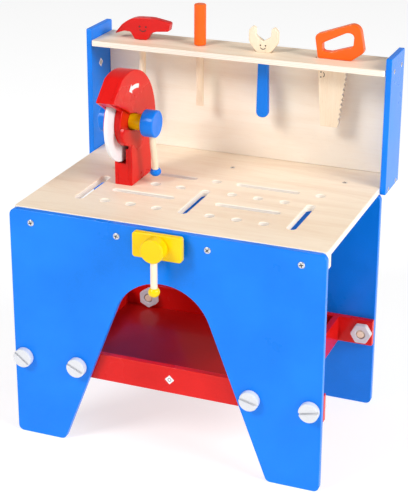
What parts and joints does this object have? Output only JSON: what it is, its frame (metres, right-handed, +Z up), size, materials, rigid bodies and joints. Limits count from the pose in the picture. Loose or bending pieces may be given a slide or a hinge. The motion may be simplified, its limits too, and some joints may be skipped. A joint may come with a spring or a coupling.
{
  "type": "toy tool bench",
  "caption": "Child's wooden workbench with pierced top, turning vise, tray, toy bolts, hand-cranked circular saw and lift-out tools in a back shelf.",
  "frame": {"origin": "on the floor, under the centre of the bounding box", "axes": "+X to the right across the bench seen from its front, +Y from the front panel to the backrest, +Z up"},
  "size_m": [0.5756, 0.4578, 0.715],
  "materials": {
    "blue_paint": "gloss blue toy paint on plywood",
    "red_paint": "gloss red toy paint on plywood",
    "yellow_paint": "gloss yellow toy paint on beech",
    "orange_paint": "gloss orange toy paint on beech",
    "white_paint": "white toy paint on beech",
    "plywood": "clear-lacquered birch plywood",
    "beech": "clear-lacquered beech",
    "steel": "zinc-plated screw"
  },
  "bodies": {
    "bench": {"front_panel": "blue_paint", "rear_panel": "blue_paint", "front_batten": "beech", "rear_batten": "beech", "tabletop": "plywood", "left_side_board": "blue_paint", "right_side_board": "blue_paint", "back_board": "plywood", "tool_shelf": "plywood", "tray_front_rail": "red_paint", "tray_rear_rail": "red_paint", "tray_left_end": "red_paint", "tray_right_end": "red_paint", "tray_floor": "red_paint", "saw_left_cheek": "red_paint", "saw_right_cheek": "red_paint", "saw_core": "red_paint", "front_nut_1": "white_paint", "front_nut_2": "white_paint", "front_nut_3": "white_paint", "front_nut_4": "white_paint", "rear_nut_1": "white_paint", "rear_nut_2": "white_paint", "rear_nut_3": "white_paint", "rear_nut_4": "white_paint", "panel_screw_1": "steel", "panel_screw_2": "steel", "panel_screw_3": "steel", "panel_screw_4": "steel"},
    "saw_rotor": {"saw_blade": "white_paint", "saw_hub": "red_paint", "saw_spacer": "yellow_paint", "saw_left_knob": "blue_paint", "saw_right_knob": "blue_paint", "saw_axle": "beech", "saw_crank_bar": "beech", "saw_crank_ball": "blue_paint"},
    "vise_slide": {"vise_jaw": "yellow_paint", "vise_left_guide": "beech", "vise_right_guide": "beech"},
    "vise_handle": {"vise_knob": "yellow_paint", "vise_screw": "beech", "vise_bar": "beech", "vise_ball": "yellow_paint"},
    "hammer": {"hammer_head": "red_paint", "hammer_handle": "beech"},
    "screwdriver": {"screwdriver_grip": "orange_paint", "screwdriver_shaft": "beech"},
    "open_wrench": {"wrench": "beech"},
    "handsaw": {"handsaw_grip": "orange_paint", "handsaw_blade": "beech"},
    "front_bolt_1_body": {"front_bolt_1": "white_paint"},
    "front_bolt_2_body": {"front_bolt_2": "white_paint"},
    "front_bolt_3_body": {"front_bolt_3": "white_paint"},
    "front_bolt_4_body": {"front_bolt_4": "white_paint"},
    "rear_bolt_1_body": {"rear_bolt_1": "white_paint"},
    "rear_bolt_2_body": {"rear_bolt_2": "white_paint"},
    "rear_bolt_3_body": {"rear_bolt_3": "white_paint"},
    "rear_bolt_4_body": {"rear_bolt_4": "white_paint"}
  },
  "joints": [
    {"name": "saw_spin", "type": "hinge", "parent": "bench", "child": "saw_rotor", "pos_m": [-0.1458, 0.00025, 0.541], "axis": [1, 0, 0], "continuous": true},
    {"name": "jaw_travel", "type": "slide", "parent": "bench", "child": "vise_slide", "axis": [0, 1, 0], "range_m": [-0.048, 0.008]},
    {"name": "vise_turn", "type": "hinge", "parent": "vise_slide", "child": "vise_handle", "pos_m": [0, -0.19525, 0.4035], "axis": [0, 1, 0], "range_deg": [-2160, 360]},
    {"name": "hammer_lift", "type": "slide", "parent": "bench", "child": "hammer", "axis": [0, 0, 1], "range_m": [0, 0.145]},
    {"name": "screwdriver_lift", "type": "slide", "parent": "bench", "child": "screwdriver", "axis": [0, 0, 1], "range_m": [0, 0.12]},
    {"name": "wrench_lift", "type": "slide", "parent": "bench", "child": "open_wrench", "axis": [0, 0, 1], "range_m": [0, 0.127]},
    {"name": "handsaw_lift", "type": "slide", "parent": "bench", "child": "handsaw", "axis": [0, 0, 1], "range_m": [0, 0.13]},
    {"name": "front_bolt_1_turn", "type": "hinge", "parent": "bench", "child": "front_bolt_1_body", "pos_m": [-0.261, -0.18675, 0.15], "axis": [0, 1, 0], "continuous": true},
    {"name": "front_bolt_2_turn", "type": "hinge", "parent": "bench", "child": "front_bolt_2_body", "pos_m": [-0.158, -0.18675, 0.15], "axis": [0, 1, 0], "continuous": true},
    {"name": "front_bolt_3_turn", "type": "hinge", "parent": "bench", "child": "front_bolt_3_body", "pos_m": [0.158, -0.18675, 0.15], "axis": [0, 1, 0], "continuous": true},
    {"name": "front_bolt_4_turn", "type": "hinge", "parent": "bench", "child": "front_bolt_4_body", "pos_m": [0.261, -0.18675, 0.15], "axis": [0, 1, 0], "continuous": true},
    {"name": "rear_bolt_1_turn", "type": "hinge", "parent": "bench", "child": "rear_bolt_1_body", "pos_m": [-0.261, 0.15025, 0.15], "axis": [0, 1, 0], "continuous": true},
    {"name": "rear_bolt_2_turn", "type": "hinge", "parent": "bench", "child": "rear_bolt_2_body", "pos_m": [-0.158, 0.15025, 0.15], "axis": [0, 1, 0], "continuous": true},
    {"name": "rear_bolt_3_turn", "type": "hinge", "parent": "bench", "child": "rear_bolt_3_body", "pos_m": [0.158, 0.15025, 0.15], "axis": [0, 1, 0], "continuous": true},
    {"name": "rear_bolt_4_turn", "type": "hinge", "parent": "bench", "child": "rear_bolt_4_body", "pos_m": [0.261, 0.15025, 0.15], "axis": [0, 1, 0], "continuous": true}
  ],
  "couplings": [
    {"joint": "jaw_travel", "follows": "vise_turn", "m_per_rad": 0.0012732}
  ]
}
